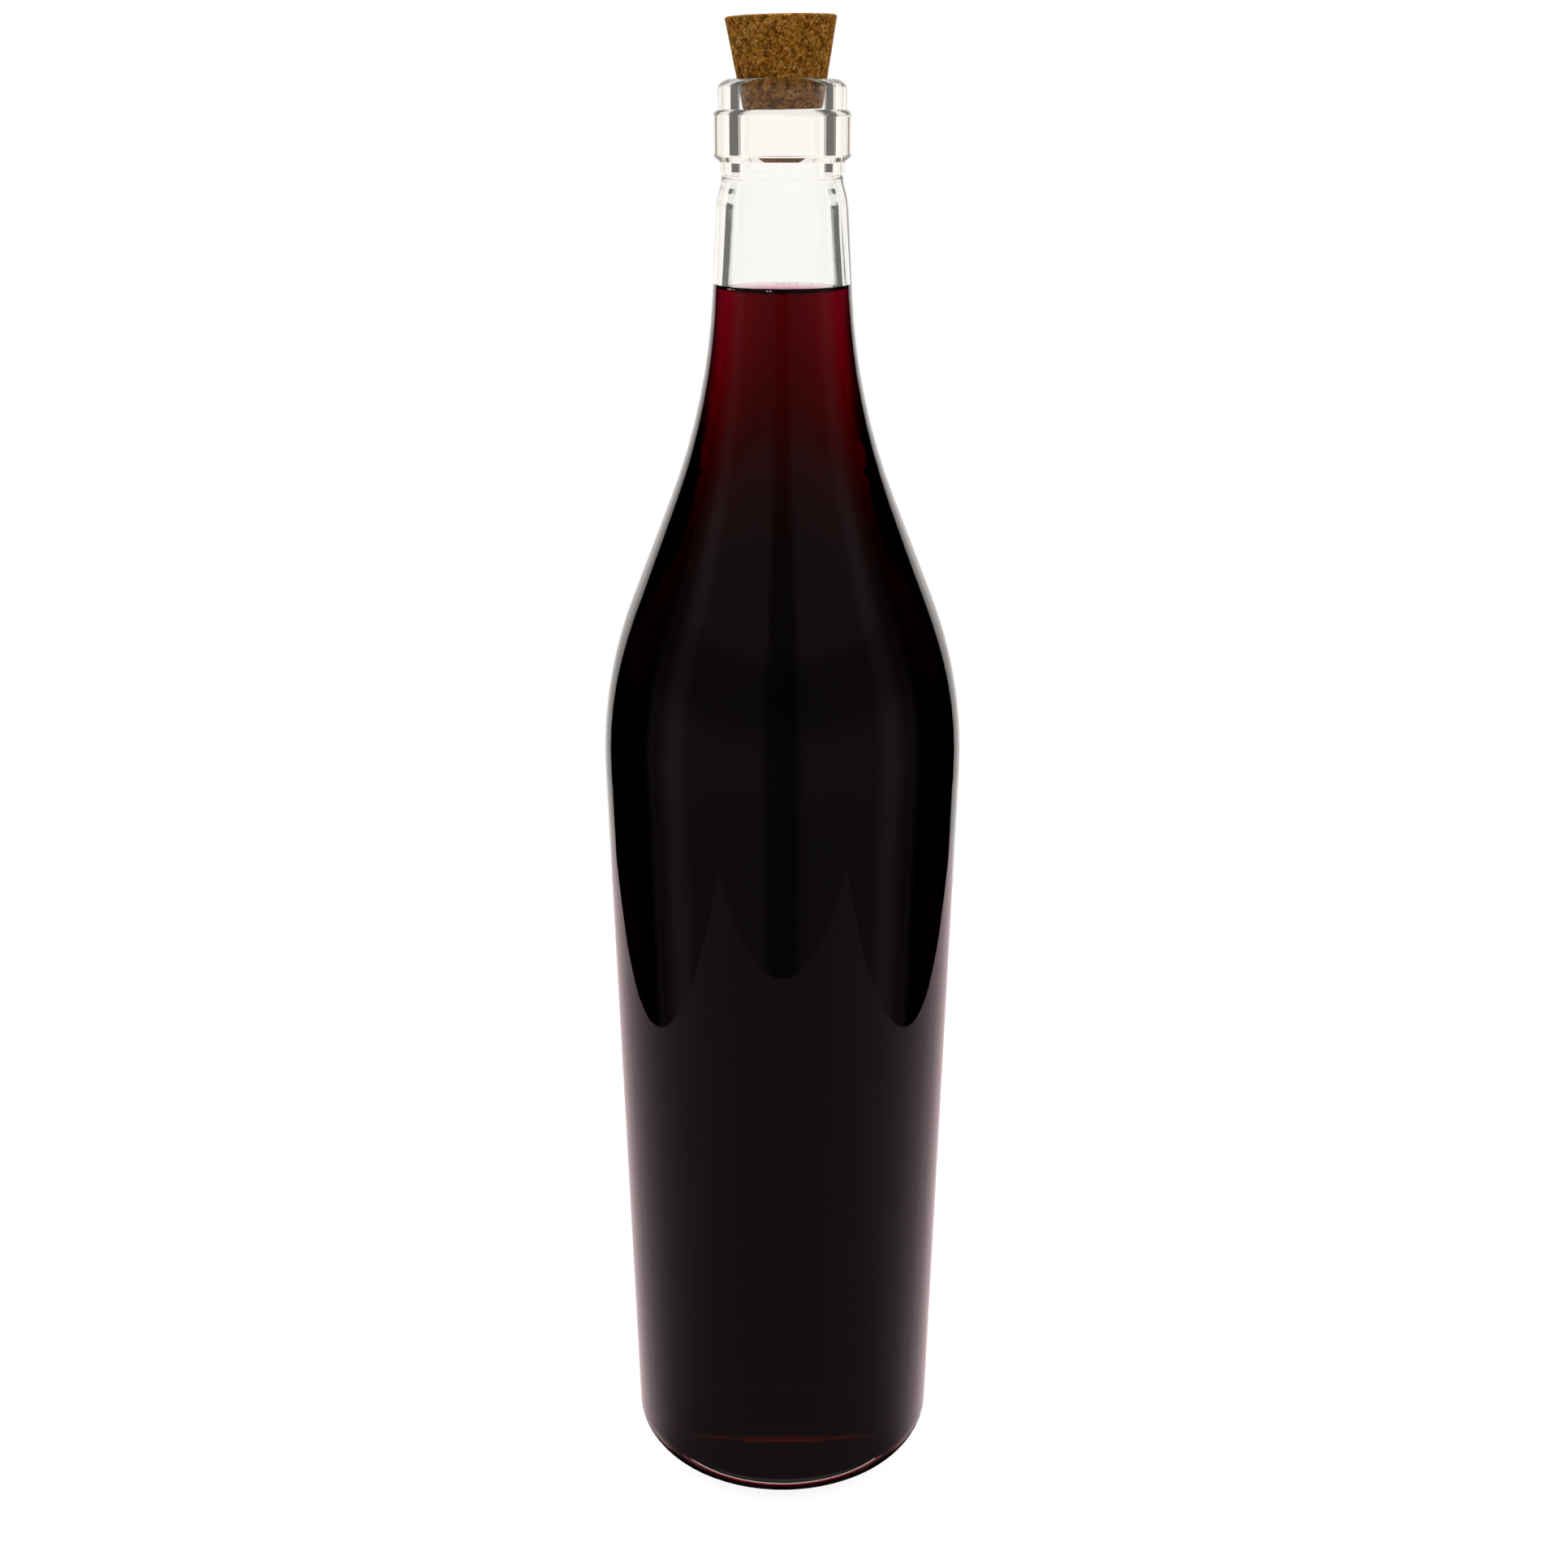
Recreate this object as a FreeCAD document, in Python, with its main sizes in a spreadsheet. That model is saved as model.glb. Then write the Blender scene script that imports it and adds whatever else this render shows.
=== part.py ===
"""A clear glass wine bottle, filled with red wine and closed by a tapered cork stopper.

Three pieces, each a body of its own: the blown glass bottle, the wine that stands in it up into
the neck, and the cork pushed a few millimetres into the mouth. Every piece is turned about the
upright axis. The origin is the centre of the bottle's foot, +Z is up, and sizes are millimetres
and degrees.
"""

import FreeCAD, Part
import math
import os

import Sketcher

# What is set by hand. Walls, steps and drops are measured from what they depend on, so that the
# neck, the finish round the mouth, the wine and the cork all follow the bore and the body.
SIZES = {
    # the body, up to the hollow under the neck
    "body_radius": 39.2,  # where the straight side meets the shoulder
    "body_height": 169.5,  # height of that place
    "side_taper": 1.58,  # the side leans out by this much on its way up
    "shoulder_round": 96.2,
    "shoulder_slope": 21.6,  # of the straight run between shoulder and hollow
    "hollow_round": 133.5,
    # the heel and the foot
    "heel_round": 8.6,
    "heel_slope": 53.5,  # of the short cone between heel and foot
    "heel_run": 3.2,
    "foot_round": 2.8,
    "foot_flat": 3.0,  # width of the ring that the bottle stands on
    "push_up": 14.0,  # height of the hollow under the foot
    "push_round": 2.5,
    # the neck, up to its waist under the finish
    "neck_taper": 3.0,
    "neck_length": 17.3,
    "neck_flare": 1.1,  # how far the neck stands out from its waist
    "throat_round": 12.0,
    "throat_slope": 17.5,
    "waist_round": 6.0,
    "waist_length": 1.2,
    # the finish: a collar, a bevelled band and a lip
    "collar_length": 2.0,
    "bevel_height": 1.1,
    "band_length": 7.7,
    "band_round": 1.6,
    "band_step": 1.0,  # the band stands out this far from the lip
    "ledge": 0.35,  # the flat part of that step
    "mould_round": 0.4,  # what hot glass leaves of the mould's sharp corners
    "lip_length": 4.1,
    "lip_drop": 1.9,  # height of the lip's rounded top
    "lip_round": 1.4,
    "lip_flat": 0.25,
    "mouth_round": 1.3,
    # the bore and the walls
    "bore_radius": 9.0,
    "bore_depth": 18.4,
    "flare_slope": 12.5,  # how fast the bore opens into the neck
    "flare_blend": 4.0,
    "inner_taper": 4.0,  # the neck opens faster inside than outside
    "wall": 2.9,
    "waist_wall": 3.5,
    "collar_wall": 3.75,
    "lip_wall": 4.05,
    "base_wall": 5.0,  # under the trough round the floor
    "push_wall": 5.5,  # over the push-up
    "trough_round": 8.0,
    # the wine
    "fill_drop": 40.4,  # from the rim down to its surface
    "wine_gap": 0.05,  # between wine and glass
    # the cork
    "cork_length": 17.8,
    "cork_depth": 4.6,  # below the place where it jams in the mouth
    "cork_taper": 10.3,
    "cork_gap": 0.1,  # between cork and bore at that place
    "cork_edge": 0.3,
    "cork_lean": 1.3,
}

# What follows from the sizes: radii, straight runs, turns and heights above the foot.
WORKED = {
    # the outside, from the finish down to where the shoulder starts
    "waist_radius": "sizes.bore_radius + sizes.waist_wall",
    "collar_radius": "sizes.bore_radius + sizes.collar_wall",
    "band_radius": "sizes.bore_radius + sizes.lip_wall + sizes.band_step",
    "neck_radius": "waist_radius + sizes.neck_flare",
    "neck_spread": "sizes.neck_length * sin(sizes.neck_taper)",
    "hollow_spread": "sizes.hollow_round * (cos(sizes.neck_taper) - cos(sizes.shoulder_slope))",
    "shoulder_drop": "sizes.shoulder_round * (cos(sizes.side_taper) - cos(sizes.shoulder_slope))",
    "run_foot_radius": "sizes.body_radius - shoulder_drop",
    "run_top_radius": "neck_radius + neck_spread + hollow_spread",
    "shoulder_run": "(run_foot_radius - run_top_radius) / sin(sizes.shoulder_slope)",
    "throat_drop": "sizes.throat_round * (cos(sizes.neck_taper) - cos(sizes.throat_slope))",
    "waist_drop": "sizes.waist_round * (1 - cos(sizes.throat_slope))",
    "throat_run": "(sizes.neck_flare - throat_drop - waist_drop) / sin(sizes.throat_slope)",
    # the heel and the straight side
    "foot_rise": "sizes.foot_round * (1 - sin(sizes.heel_slope))",
    "cone_rise": "sizes.heel_run * cos(sizes.heel_slope)",
    "heel_rise": "sizes.heel_round * (sin(sizes.heel_slope) - sin(sizes.side_taper))",
    "heel_top": "foot_rise + cone_rise + heel_rise",
    "side_run": "(sizes.body_height - heel_top) / cos(sizes.side_taper)",
    "heel_radius": "sizes.body_radius - side_run * sin(sizes.side_taper)",
    "heel_drop": "sizes.heel_round * (cos(sizes.side_taper) - cos(sizes.heel_slope))",
    "cone_drop": "sizes.heel_run * sin(sizes.heel_slope)",
    "foot_drop": "sizes.foot_round * cos(sizes.heel_slope)",
    "foot_radius": "heel_radius - heel_drop - cone_drop - foot_drop",
    # heights of the neck and the finish
    "shoulder_rise": "sizes.shoulder_round * (sin(sizes.shoulder_slope) + sin(sizes.side_taper))",
    "run_rise": "shoulder_run * cos(sizes.shoulder_slope)",
    "run_top": "sizes.body_height + shoulder_rise + run_rise",
    "hollow_rise": "sizes.hollow_round * (sin(sizes.shoulder_slope) - sin(sizes.neck_taper))",
    "neck_top": "run_top + hollow_rise + sizes.neck_length * cos(sizes.neck_taper)",
    "throat_rise": "sizes.throat_round * (sin(sizes.throat_slope) - sin(sizes.neck_taper))",
    "cone_top": "neck_top + throat_rise + throat_run * cos(sizes.throat_slope)",
    "waist": "cone_top + sizes.waist_round * sin(sizes.throat_slope)",
    "collar_foot": "waist + sizes.waist_length",
    "band_foot": "collar_foot + sizes.collar_length",
    "bevel_top": "band_foot + sizes.bevel_height",
    "band_turn": "acos(1 - (sizes.band_step - sizes.ledge) / sizes.band_round) / 1deg",
    "band_top": "bevel_top + sizes.band_length + sizes.band_round * sin(band_turn)",
    "rim": "band_top + sizes.lip_length + sizes.lip_drop",
    "bevel_width": "band_radius - collar_radius",
    "bevel_turn": "atan(bevel_width / sizes.bevel_height) / 1deg",
    # the lip's rounded top: its corner runs into one larger round
    "crown_width": "sizes.lip_wall - sizes.mouth_round - sizes.lip_flat",
    "crown_rest": "(crown_width - sizes.lip_round) ^ 2 + sizes.lip_drop ^ 2 - sizes.lip_round ^ 2",
    "crown_round": "crown_rest / (2 * (sizes.lip_drop - sizes.lip_round))",
    "lip_turn": "acos((crown_width - sizes.lip_round) / (crown_round - sizes.lip_round)) / 1deg",
    # the push-up: a round at the foot's inner edge runs into a dome
    "push_radius": "foot_radius - sizes.foot_flat",
    "push_dome": "(push_radius ^ 2 + sizes.push_up ^ 2) / (2 * sizes.push_up) - sizes.push_round",
    "push_turn": "asin(push_radius / (push_dome + sizes.push_round)) / 1deg",
    # the inside: a trough round the floor, between its dome and the side
    "trough_height": "sizes.base_wall + sizes.trough_round",
    "trough_lean": "(sizes.body_height - trough_height) * tan(sizes.side_taper)",
    "trough_in": "(sizes.wall + sizes.trough_round) / cos(sizes.side_taper)",
    "trough_radius": "sizes.body_radius - trough_lean - trough_in",
    "dome_top": "sizes.push_up + sizes.push_wall",
    "dome_rest": "trough_radius ^ 2 + (trough_height - dome_top) ^ 2 - sizes.trough_round ^ 2",
    "dome_round": "dome_rest / (2 * (dome_top - sizes.base_wall))",
    "dome_turn": "asin(trough_radius / (dome_round + sizes.trough_round)) / 1deg",
    "inner_lean": "(sizes.wall + sizes.trough_round) * sin(sizes.side_taper)",
    "inner_side_run": "(sizes.body_height + inner_lean - trough_height) / cos(sizes.side_taper)",
    "hollow_level": "run_top + sizes.hollow_round * sin(sizes.shoulder_slope)",
    "hollow_out": "run_top_radius + sizes.hollow_round * cos(sizes.shoulder_slope)",
    "inner_hollow": "sizes.hollow_round + sizes.wall",
    "inner_neck_level": "hollow_level - inner_hollow * sin(sizes.inner_taper)",
    "inner_neck_foot": "hollow_out - inner_hollow * cos(sizes.inner_taper)",
    # the bore opens downwards, until it meets the neck's own taper
    "flare_top": "rim - sizes.bore_depth",
    "taper_drop": "(flare_top - inner_neck_level) * tan(sizes.inner_taper)",
    "flare_gain": "inner_neck_foot - taper_drop - sizes.bore_radius",
    "flare_height": "flare_gain / (tan(sizes.flare_slope) - tan(sizes.inner_taper))",
    "flare_foot": "flare_top - flare_height",
    "flare_radius": "sizes.bore_radius + flare_height * tan(sizes.flare_slope)",
    "inner_neck_run": "(flare_foot - inner_neck_level) / cos(sizes.inner_taper)",
    # the wine's surface, and the place where the cork jams
    "fill_level": "rim - sizes.fill_drop",
    "cork_seat": "rim - sizes.mouth_round",
    "cork_radius": "sizes.bore_radius - sizes.cork_gap",
    "cork_foot_radius": "cork_radius - sizes.cork_depth * tan(sizes.cork_taper)",
    "cork_top": "sizes.cork_length - sizes.cork_depth",
    "cork_top_radius": "cork_radius + cork_top * tan(sizes.cork_taper)",
}

UP, OUT, IN = 0, 90, -90  # headings, measured from straight up towards the outside


def fill_sheet(name, cells):
    """A spreadsheet of named cells: plain numbers as they are, and text as formulas."""
    sheet = doc.addObject("Spreadsheet::Sheet", name)
    for row, (alias, value) in enumerate(cells.items(), start=1):
        sheet.set("A%d" % row, alias)
        sheet.set("B%d" % row, "=" + value if isinstance(value, str) else str(value))
        sheet.setAlias("B%d" % row, alias)
    doc.recompute()
    return sheet


def worth(formula):
    """The number that a formula of the two sheets gives."""
    return float(worked.evalExpression(formula))


class Outline:
    """A closed outline to be turned about the axis.

    It is walked stretch by stretch from a point on the axis, at first level and outwards. Every
    length, radius and turn is a formula, and the sketch stays bound to it.
    """

    START, END, CENTRE = 1, 2, 3
    AXIS = -2
    ORIGIN = (-1, 1)

    def __init__(self, body, name, height):
        plane = next(f for f in body.Origin.OriginFeatures if f.Role == "XZ_Plane")
        self.sketch = body.newObject("Sketcher::SketchObject", name)
        self.sketch.AttachmentSupport = [(plane, "")]
        self.sketch.MapMode = "FlatFace"
        self.height = height
        self.place = self.origin = FreeCAD.Vector(0, worth(height), 0)
        self.heading = math.radians(OUT)
        self.first = self.tail = None

    def rule(self, kind, *where):
        self.sketch.addConstraint(Sketcher.Constraint(kind, *where))

    def bind(self, kind, *where, to):
        """A driving constraint that keeps to its formula."""
        value = math.radians(worth(to)) if kind == "Angle" else worth(to)
        index = self.sketch.addConstraint(Sketcher.Constraint(kind, *where, value))
        self.sketch.setExpression("Constraints[%d]" % index, to)

    def join(self, edge, near, far, kind):
        """Fix the near end of a new stretch to where the walk has come to."""
        if self.tail:
            self.rule(kind, *self.tail, edge, near)
        elif self.origin.y == 0:
            self.rule("Coincident", edge, near, *self.ORIGIN)
        else:
            self.rule("PointOnObject", edge, near, self.AXIS)
            self.bind("DistanceY", *self.ORIGIN, edge, near, to=self.height)
        self.first = self.first or (edge, near)
        self.tail = (edge, far)

    def draw(self, end):
        edge = self.sketch.addGeometry(Part.LineSegment(self.place, end), False)
        self.place = end
        return edge

    def line(self, length, heading=None):
        """A straight stretch: smoothly onwards or, with a heading, round a corner."""
        if heading is not None:
            self.heading = math.radians(worth(str(heading)))
        way = FreeCAD.Vector(math.sin(self.heading), math.cos(self.heading), 0)
        edge = self.draw(self.place + way * worth(length))
        self.join(edge, self.START, self.END, "Tangent" if heading is None else "Coincident")
        if heading == UP:
            self.rule("Vertical", edge)
        elif heading in (OUT, IN):
            self.rule("Horizontal", edge)
        elif heading is not None:
            self.bind("Angle", edge, to="90 - (%s)" % heading)
        self.bind("Distance", edge, to=length)

    def arc(self, radius, turn, side):
        """A round stretch that runs smoothly on and turns outwards (side 1) or inwards (side -1)."""
        normal = FreeCAD.Vector(math.cos(self.heading), -math.sin(self.heading), 0) * side
        centre = self.place + normal * worth(radius)
        before = math.atan2(-normal.y, -normal.x)
        after = before - side * math.radians(worth(turn))
        circle = Part.Circle(centre, FreeCAD.Vector(0, 0, 1), worth(radius))
        span = (after, before) if side > 0 else (before, after)
        edge = self.sketch.addGeometry(Part.ArcOfCircle(circle, *span), False)
        if not self.tail:
            self.rule("PointOnObject", edge, self.CENTRE, self.AXIS)
        ends = (self.END, self.START) if side > 0 else (self.START, self.END)
        self.join(edge, *ends, "Tangent")
        self.bind("Radius", edge, to=radius)
        self.bind("Angle", edge, to=turn)
        self.place = centre + FreeCAD.Vector(math.cos(after), math.sin(after), 0) * worth(radius)
        self.heading += side * math.radians(worth(turn))

    def close(self):
        """Level back to the axis, and along it to where the walk began."""
        level = self.draw(FreeCAD.Vector(0, self.place.y, 0))
        self.join(level, self.START, self.END, "Coincident")
        self.rule("Horizontal", level)
        upright = self.draw(self.origin)
        self.join(upright, self.START, self.END, "Coincident")
        self.rule("Vertical", upright)
        self.rule("Coincident", *self.tail, *self.first)


def turned(body, kind, name, outline):
    """Turn an outline about the axis, to add its solid (Revolution) or cut it away (Groove)."""
    outline.close()
    doc.recompute()
    before = body.Shape.Volume if body.Tip else 0.0
    feature = body.newObject("PartDesign::" + kind, name)
    feature.Profile = outline.sketch
    feature.ReferenceAxis = (outline.sketch, ["V_Axis"])
    feature.Angle = 360
    doc.recompute()
    change = body.Shape.Volume - before
    if (change > 0) != (kind == "Revolution"):
        raise RuntimeError("%s changes nothing" % name)
    return feature


def softened(body, name, radius, rings):
    """Round the circular edges that lie at these radii and heights."""
    base = body.Tip
    places = [(worth(out), worth(height)) for out, height in rings]
    names = []
    for number, edge in enumerate(base.Shape.Edges, start=1):
        if edge.Degenerated or not isinstance(edge.Curve, Part.Circle):
            continue
        found = (edge.Curve.Radius, edge.Curve.Center.z)
        if edge.isClosed() and any(math.dist(found, place) < 1e-3 for place in places):
            names.append("Edge%d" % number)
    if len(names) != len(rings):
        raise RuntimeError("%s finds %d of %d edges" % (name, len(names), len(rings)))
    feature = body.newObject("PartDesign::Fillet", name)
    feature.Base = (base, names)
    feature.Radius = worth(radius)
    feature.setExpression("Radius", radius)
    doc.recompute()
    return feature


def new_body(label):
    body = doc.addObject("PartDesign::Body", label)
    body.Label = label
    return body


def cavity_outline(body, name, gap):
    """The inside of the glass, or that form drawn in by a gap, from the floor up to the rim."""
    walk = Outline(body, name, "worked.dome_top + " + gap)
    # the floor domes over the push-up and falls to a round trough at the heel
    walk.arc("worked.dome_round + " + gap, "worked.dome_turn", 1)
    rise = "worked.dome_turn + 90 - sizes.side_taper"
    walk.arc("sizes.trough_round - " + gap, rise, -1)
    # side, shoulder and hollow keep one wall's distance from the outside
    walk.line("worked.inner_side_run")
    lean = "sizes.side_taper + sizes.shoulder_slope"
    walk.arc("sizes.shoulder_round - sizes.wall - " + gap, lean, -1)
    walk.line("worked.shoulder_run")
    walk.arc("worked.inner_hollow + " + gap, "sizes.shoulder_slope - sizes.inner_taper", 1)
    # the neck narrows to the bore, which is straight up to the rim
    walk.line("worked.inner_neck_run")
    walk.line("worked.flare_height / cos(sizes.flare_slope)", "-sizes.flare_slope")
    walk.line("sizes.bore_depth", UP)
    return walk


def make_bottle():
    """The glass: a blown body, a moulded finish, a hollow inside and a push-up under the foot."""
    body = new_body("bottle")

    form = Outline(body, "body_outline", "0")
    form.line("worked.foot_radius", OUT)
    form.arc("sizes.foot_round", "90 - sizes.heel_slope", -1)
    form.line("sizes.heel_run")
    form.arc("sizes.heel_round", "sizes.heel_slope - sizes.side_taper", -1)
    form.line("worked.side_run")
    form.arc("sizes.shoulder_round", "sizes.side_taper + sizes.shoulder_slope", -1)
    form.line("worked.shoulder_run")
    form.arc("sizes.hollow_round", "sizes.shoulder_slope - sizes.neck_taper", 1)
    form.line("sizes.neck_length")
    form.arc("sizes.throat_round", "sizes.throat_slope - sizes.neck_taper", -1)
    form.line("worked.throat_run")
    form.arc("sizes.waist_round", "sizes.throat_slope", 1)
    turned(body, "Revolution", "blown_body", form)

    finish = Outline(body, "finish_outline", "worked.waist")
    finish.line("worked.waist_radius", OUT)
    finish.line("sizes.waist_length", UP)
    finish.line("worked.collar_radius - worked.waist_radius", OUT)
    finish.line("sizes.collar_length", UP)
    finish.line("sizes.bevel_height / cos(worked.bevel_turn)", "worked.bevel_turn")
    finish.line("sizes.band_length", UP)
    finish.arc("sizes.band_round", "worked.band_turn", -1)
    finish.line("sizes.ledge", IN)
    finish.line("sizes.lip_length", UP)
    finish.arc("sizes.lip_round", "worked.lip_turn", -1)
    finish.arc("worked.crown_round", "90 - worked.lip_turn", -1)
    turned(body, "Revolution", "finish", finish)

    cavity = cavity_outline(body, "cavity_outline", "0")
    turned(body, "Groove", "cavity", cavity)

    push = Outline(body, "push_up_outline", "sizes.push_up")
    push.arc("worked.push_dome", "worked.push_turn", 1)
    push.arc("sizes.push_round", "worked.push_turn", -1)
    turned(body, "Groove", "push_up", push)

    bevel = [("worked.band_radius", "worked.bevel_top"), ("worked.collar_radius", "worked.band_foot")]
    softened(body, "bevel_edges", "sizes.mould_round", bevel)
    softened(body, "mouth_edge", "sizes.mouth_round", [("sizes.bore_radius", "worked.rim")])
    flare = [("sizes.bore_radius", "worked.flare_top"), ("worked.flare_radius", "worked.flare_foot")]
    softened(body, "flare_edges", "sizes.flare_blend", flare)
    return body


def make_wine():
    """The wine: it fills the glass up to its level surface in the neck."""
    body = new_body("wine")
    filling = cavity_outline(body, "filling_outline", "sizes.wine_gap")
    turned(body, "Revolution", "filling", filling)
    headspace = Outline(body, "headspace_outline", "worked.fill_level")
    headspace.line("sizes.body_radius", OUT)
    headspace.line("sizes.fill_drop", UP)
    turned(body, "Groove", "headspace", headspace)
    return body


def make_cork():
    """The cork: a plain taper, jammed in the mouth and leaning a little to one side."""
    body = new_body("cork")
    form = Outline(body, "cork_outline", "0")
    form.line("worked.cork_foot_radius", OUT)
    form.line("sizes.cork_length / cos(sizes.cork_taper)", "sizes.cork_taper")
    turned(body, "Revolution", "taper", form)
    ends = [("worked.cork_foot_radius", "0"), ("worked.cork_top_radius", "sizes.cork_length")]
    softened(body, "cork_edges", "sizes.cork_edge", ends)
    # it is seated by its middle at the place where it jams, and leans towards -X
    lean = worth("sizes.cork_lean")
    body.Placement = FreeCAD.Placement(FreeCAD.Vector(), FreeCAD.Rotation(FreeCAD.Vector(0, -1, 0), lean))
    body.setExpression("Placement.Rotation.Angle", "sizes.cork_lean * 1deg")
    body.setExpression("Placement.Base.x", "sizes.cork_depth * sin(sizes.cork_lean) * 1mm")
    seated = "worked.cork_seat - sizes.cork_depth * cos(sizes.cork_lean)"
    body.setExpression("Placement.Base.z", "(%s) * 1mm" % seated)
    return body


def check(pieces):
    """Stop before anything is written if an object failed or a piece is not one good solid."""
    for item in doc.Objects:
        if "Invalid" in item.State or "Error" in item.State:
            raise RuntimeError("%s failed: %s" % (item.Name, item.State))
        if item.TypeId == "Sketcher::SketchObject" and not item.FullyConstrained:
            raise RuntimeError("%s is not fully constrained" % item.Name)
    for piece in pieces:
        shape = piece.Shape
        if shape.isNull() or not shape.isValid() or len(shape.Solids) != 1:
            raise RuntimeError("%s is not one valid solid" % piece.Label)


doc = FreeCAD.newDocument("corked_bottle")
sizes = fill_sheet("sizes", SIZES)
worked = fill_sheet("worked", WORKED)
pieces = [make_bottle(), make_wine(), make_cork()]
doc.recompute()
check(pieces)
os.makedirs("parts", exist_ok=True)
for piece in pieces:
    piece.Shape.exportStep("parts/%s.step" % piece.Label)
    box = piece.Shape.optimalBoundingBox(False)
    line = "%-8s volume %9.1f mm3  z %7.2f to %7.2f  width %6.2f"
    print(line % (piece.Label, piece.Shape.Volume, box.ZMin, box.ZMax, box.XLength))
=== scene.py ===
"""The looks of a corked bottle of red wine: clear glass, dark wine, pressed cork and a pale studio."""

import math

import bmesh
import bpy
from mathutils import Matrix, Vector


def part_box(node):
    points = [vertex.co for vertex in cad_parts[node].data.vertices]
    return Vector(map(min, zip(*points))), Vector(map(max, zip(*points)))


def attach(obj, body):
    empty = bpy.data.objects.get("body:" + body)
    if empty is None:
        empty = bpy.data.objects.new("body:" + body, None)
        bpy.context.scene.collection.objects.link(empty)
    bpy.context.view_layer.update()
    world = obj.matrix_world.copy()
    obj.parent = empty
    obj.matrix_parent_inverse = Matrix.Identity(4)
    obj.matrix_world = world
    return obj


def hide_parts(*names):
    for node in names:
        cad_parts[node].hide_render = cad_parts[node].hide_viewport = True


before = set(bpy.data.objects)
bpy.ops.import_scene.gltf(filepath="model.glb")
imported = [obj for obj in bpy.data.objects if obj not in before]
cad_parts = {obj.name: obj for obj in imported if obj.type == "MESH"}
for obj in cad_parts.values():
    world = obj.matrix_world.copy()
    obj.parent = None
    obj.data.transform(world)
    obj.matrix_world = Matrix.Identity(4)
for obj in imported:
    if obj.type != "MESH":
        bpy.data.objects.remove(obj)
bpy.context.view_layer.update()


# --- The glass bottle -------------------------------------------------------------------------
# Soda-lime glass, blown into a mould and fire-polished, so its surface is smooth and bright. The
# construction's own solid has the true form; it only gets the glass.

MATH = "ShaderNodeMath"
CLEAR = "ffffff"
GLASS_IOR = 1.52
GLASS_TINT = "fddf3f"  # faintly warm where the glass is thick
GLASS_DENSITY = 9.5
INSIDE = (0.0, 0.0, 0.12)  # a place in the hollow, from which the inner wall is seen


def add(tree, kind, ins=None, **settings):
    """Add a node to a tree: its settings by name, and its inputs by name or place.

    An input is a number, an output of another node, or the node itself, for its first output.
    """
    node = tree.nodes.new(kind)
    for name, value in settings.items():
        setattr(node, name, value)
    for key, value in (ins or {}).items():
        if isinstance(value, bpy.types.Node):
            value = value.outputs[0]
        if isinstance(value, bpy.types.NodeSocket):
            tree.links.new(value, node.inputs[key])
        else:
            node.inputs[key].default_value = value
    return node


def linear(code):
    """A colour written as an sRGB hex value, as the linear numbers that shaders take."""
    parts = [int(code[at:at + 2], 16) / 255 for at in (0, 2, 4)]
    return [c / 12.92 if c <= 0.04045 else ((c + 0.055) / 1.055) ** 2.4 for c in parts] + [1.0]


def material(name):
    """A new material with nothing in it but its output."""
    made = bpy.data.materials.new(name)
    made.use_nodes = True
    made.node_tree.nodes.clear()
    return made, made.node_tree, add(made.node_tree, "ShaderNodeOutputMaterial")


def let_lamps_through(tree, surface):
    """Let lamp light pass straight through a clear surface, to what is inside it."""
    path = add(tree, "ShaderNodeLightPath")
    clear = add(tree, "ShaderNodeBsdfTransparent", {"Color": linear(CLEAR)})
    return add(tree, "ShaderNodeMixShader", {0: path.outputs["Is Shadow Ray"], 1: surface, 2: clear})


def dress(piece, finish):
    """Give a piece one material in place of what it has."""
    piece.data.materials.clear()
    piece.data.materials.append(finish)


def facing_out(tree, place, middle):
    """Above 0 where a solid's own surface faces away from the middle, seen from either side."""
    face = add(tree, "ShaderNodeNewGeometry")
    out = add(tree, "ShaderNodeVectorMath", {0: place, 1: middle}, operation="SUBTRACT")
    both = {0: face.outputs["Normal"], 1: out}
    facing = add(tree, "ShaderNodeVectorMath", both, operation="DOT_PRODUCT").outputs["Value"]
    turn = {0: face.outputs["Backfacing"], 1: -2.0, 2: 1.0}
    own_side = add(tree, MATH, turn, operation="MULTIPLY_ADD")
    return add(tree, MATH, {0: facing, 1: own_side}, operation="MULTIPLY")


def wetted(tree, level):
    """1 where the wine wets the glass: on the inner wall, below the wine's level."""
    place = add(tree, "ShaderNodeTexCoord").outputs["Object"]
    inner = add(tree, MATH, {0: facing_out(tree, place, INSIDE), 1: 0.0}, operation="LESS_THAN")
    height = add(tree, "ShaderNodeSeparateXYZ", {0: place}).outputs[2]
    below = add(tree, MATH, {0: height, 1: level}, operation="LESS_THAN")
    return add(tree, MATH, {0: inner, 1: below}, operation="MULTIPLY")


def clear_glass(level):
    """Fire-polished glass: no roughness at all, so it mirrors sharply, except where wine wets it."""
    made, tree, out = material("fire_polished_clear_glass")
    smooth = {"Color": linear(CLEAR), "Roughness": 0.0, "IOR": GLASS_IOR}
    glass = add(tree, "ShaderNodeBsdfGlass", smooth)
    wet = add(tree, "ShaderNodeBsdfRefraction", smooth)
    skin = add(tree, "ShaderNodeMixShader", {0: wetted(tree, level), 1: glass, 2: wet})
    tree.links.new(let_lamps_through(tree, skin).outputs[0], out.inputs["Surface"])
    tint = {"Color": linear(GLASS_TINT), "Density": GLASS_DENSITY}
    body = add(tree, "ShaderNodeVolumeAbsorption", tint)
    tree.links.new(body.outputs[0], out.inputs["Volume"])
    return made


WINE_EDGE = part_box("wine")[1][2] - 0.00035  # where the wine's surface meets the wall
dress(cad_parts["bottle"], clear_glass(WINE_EDGE))


# --- The wine ---------------------------------------------------------------------------------
# Still red wine, from the floor of the bottle up into its neck. It wets the glass, so the piece
# reaches a little into the wall, and its surface climbs the wall in a meniscus.

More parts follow.
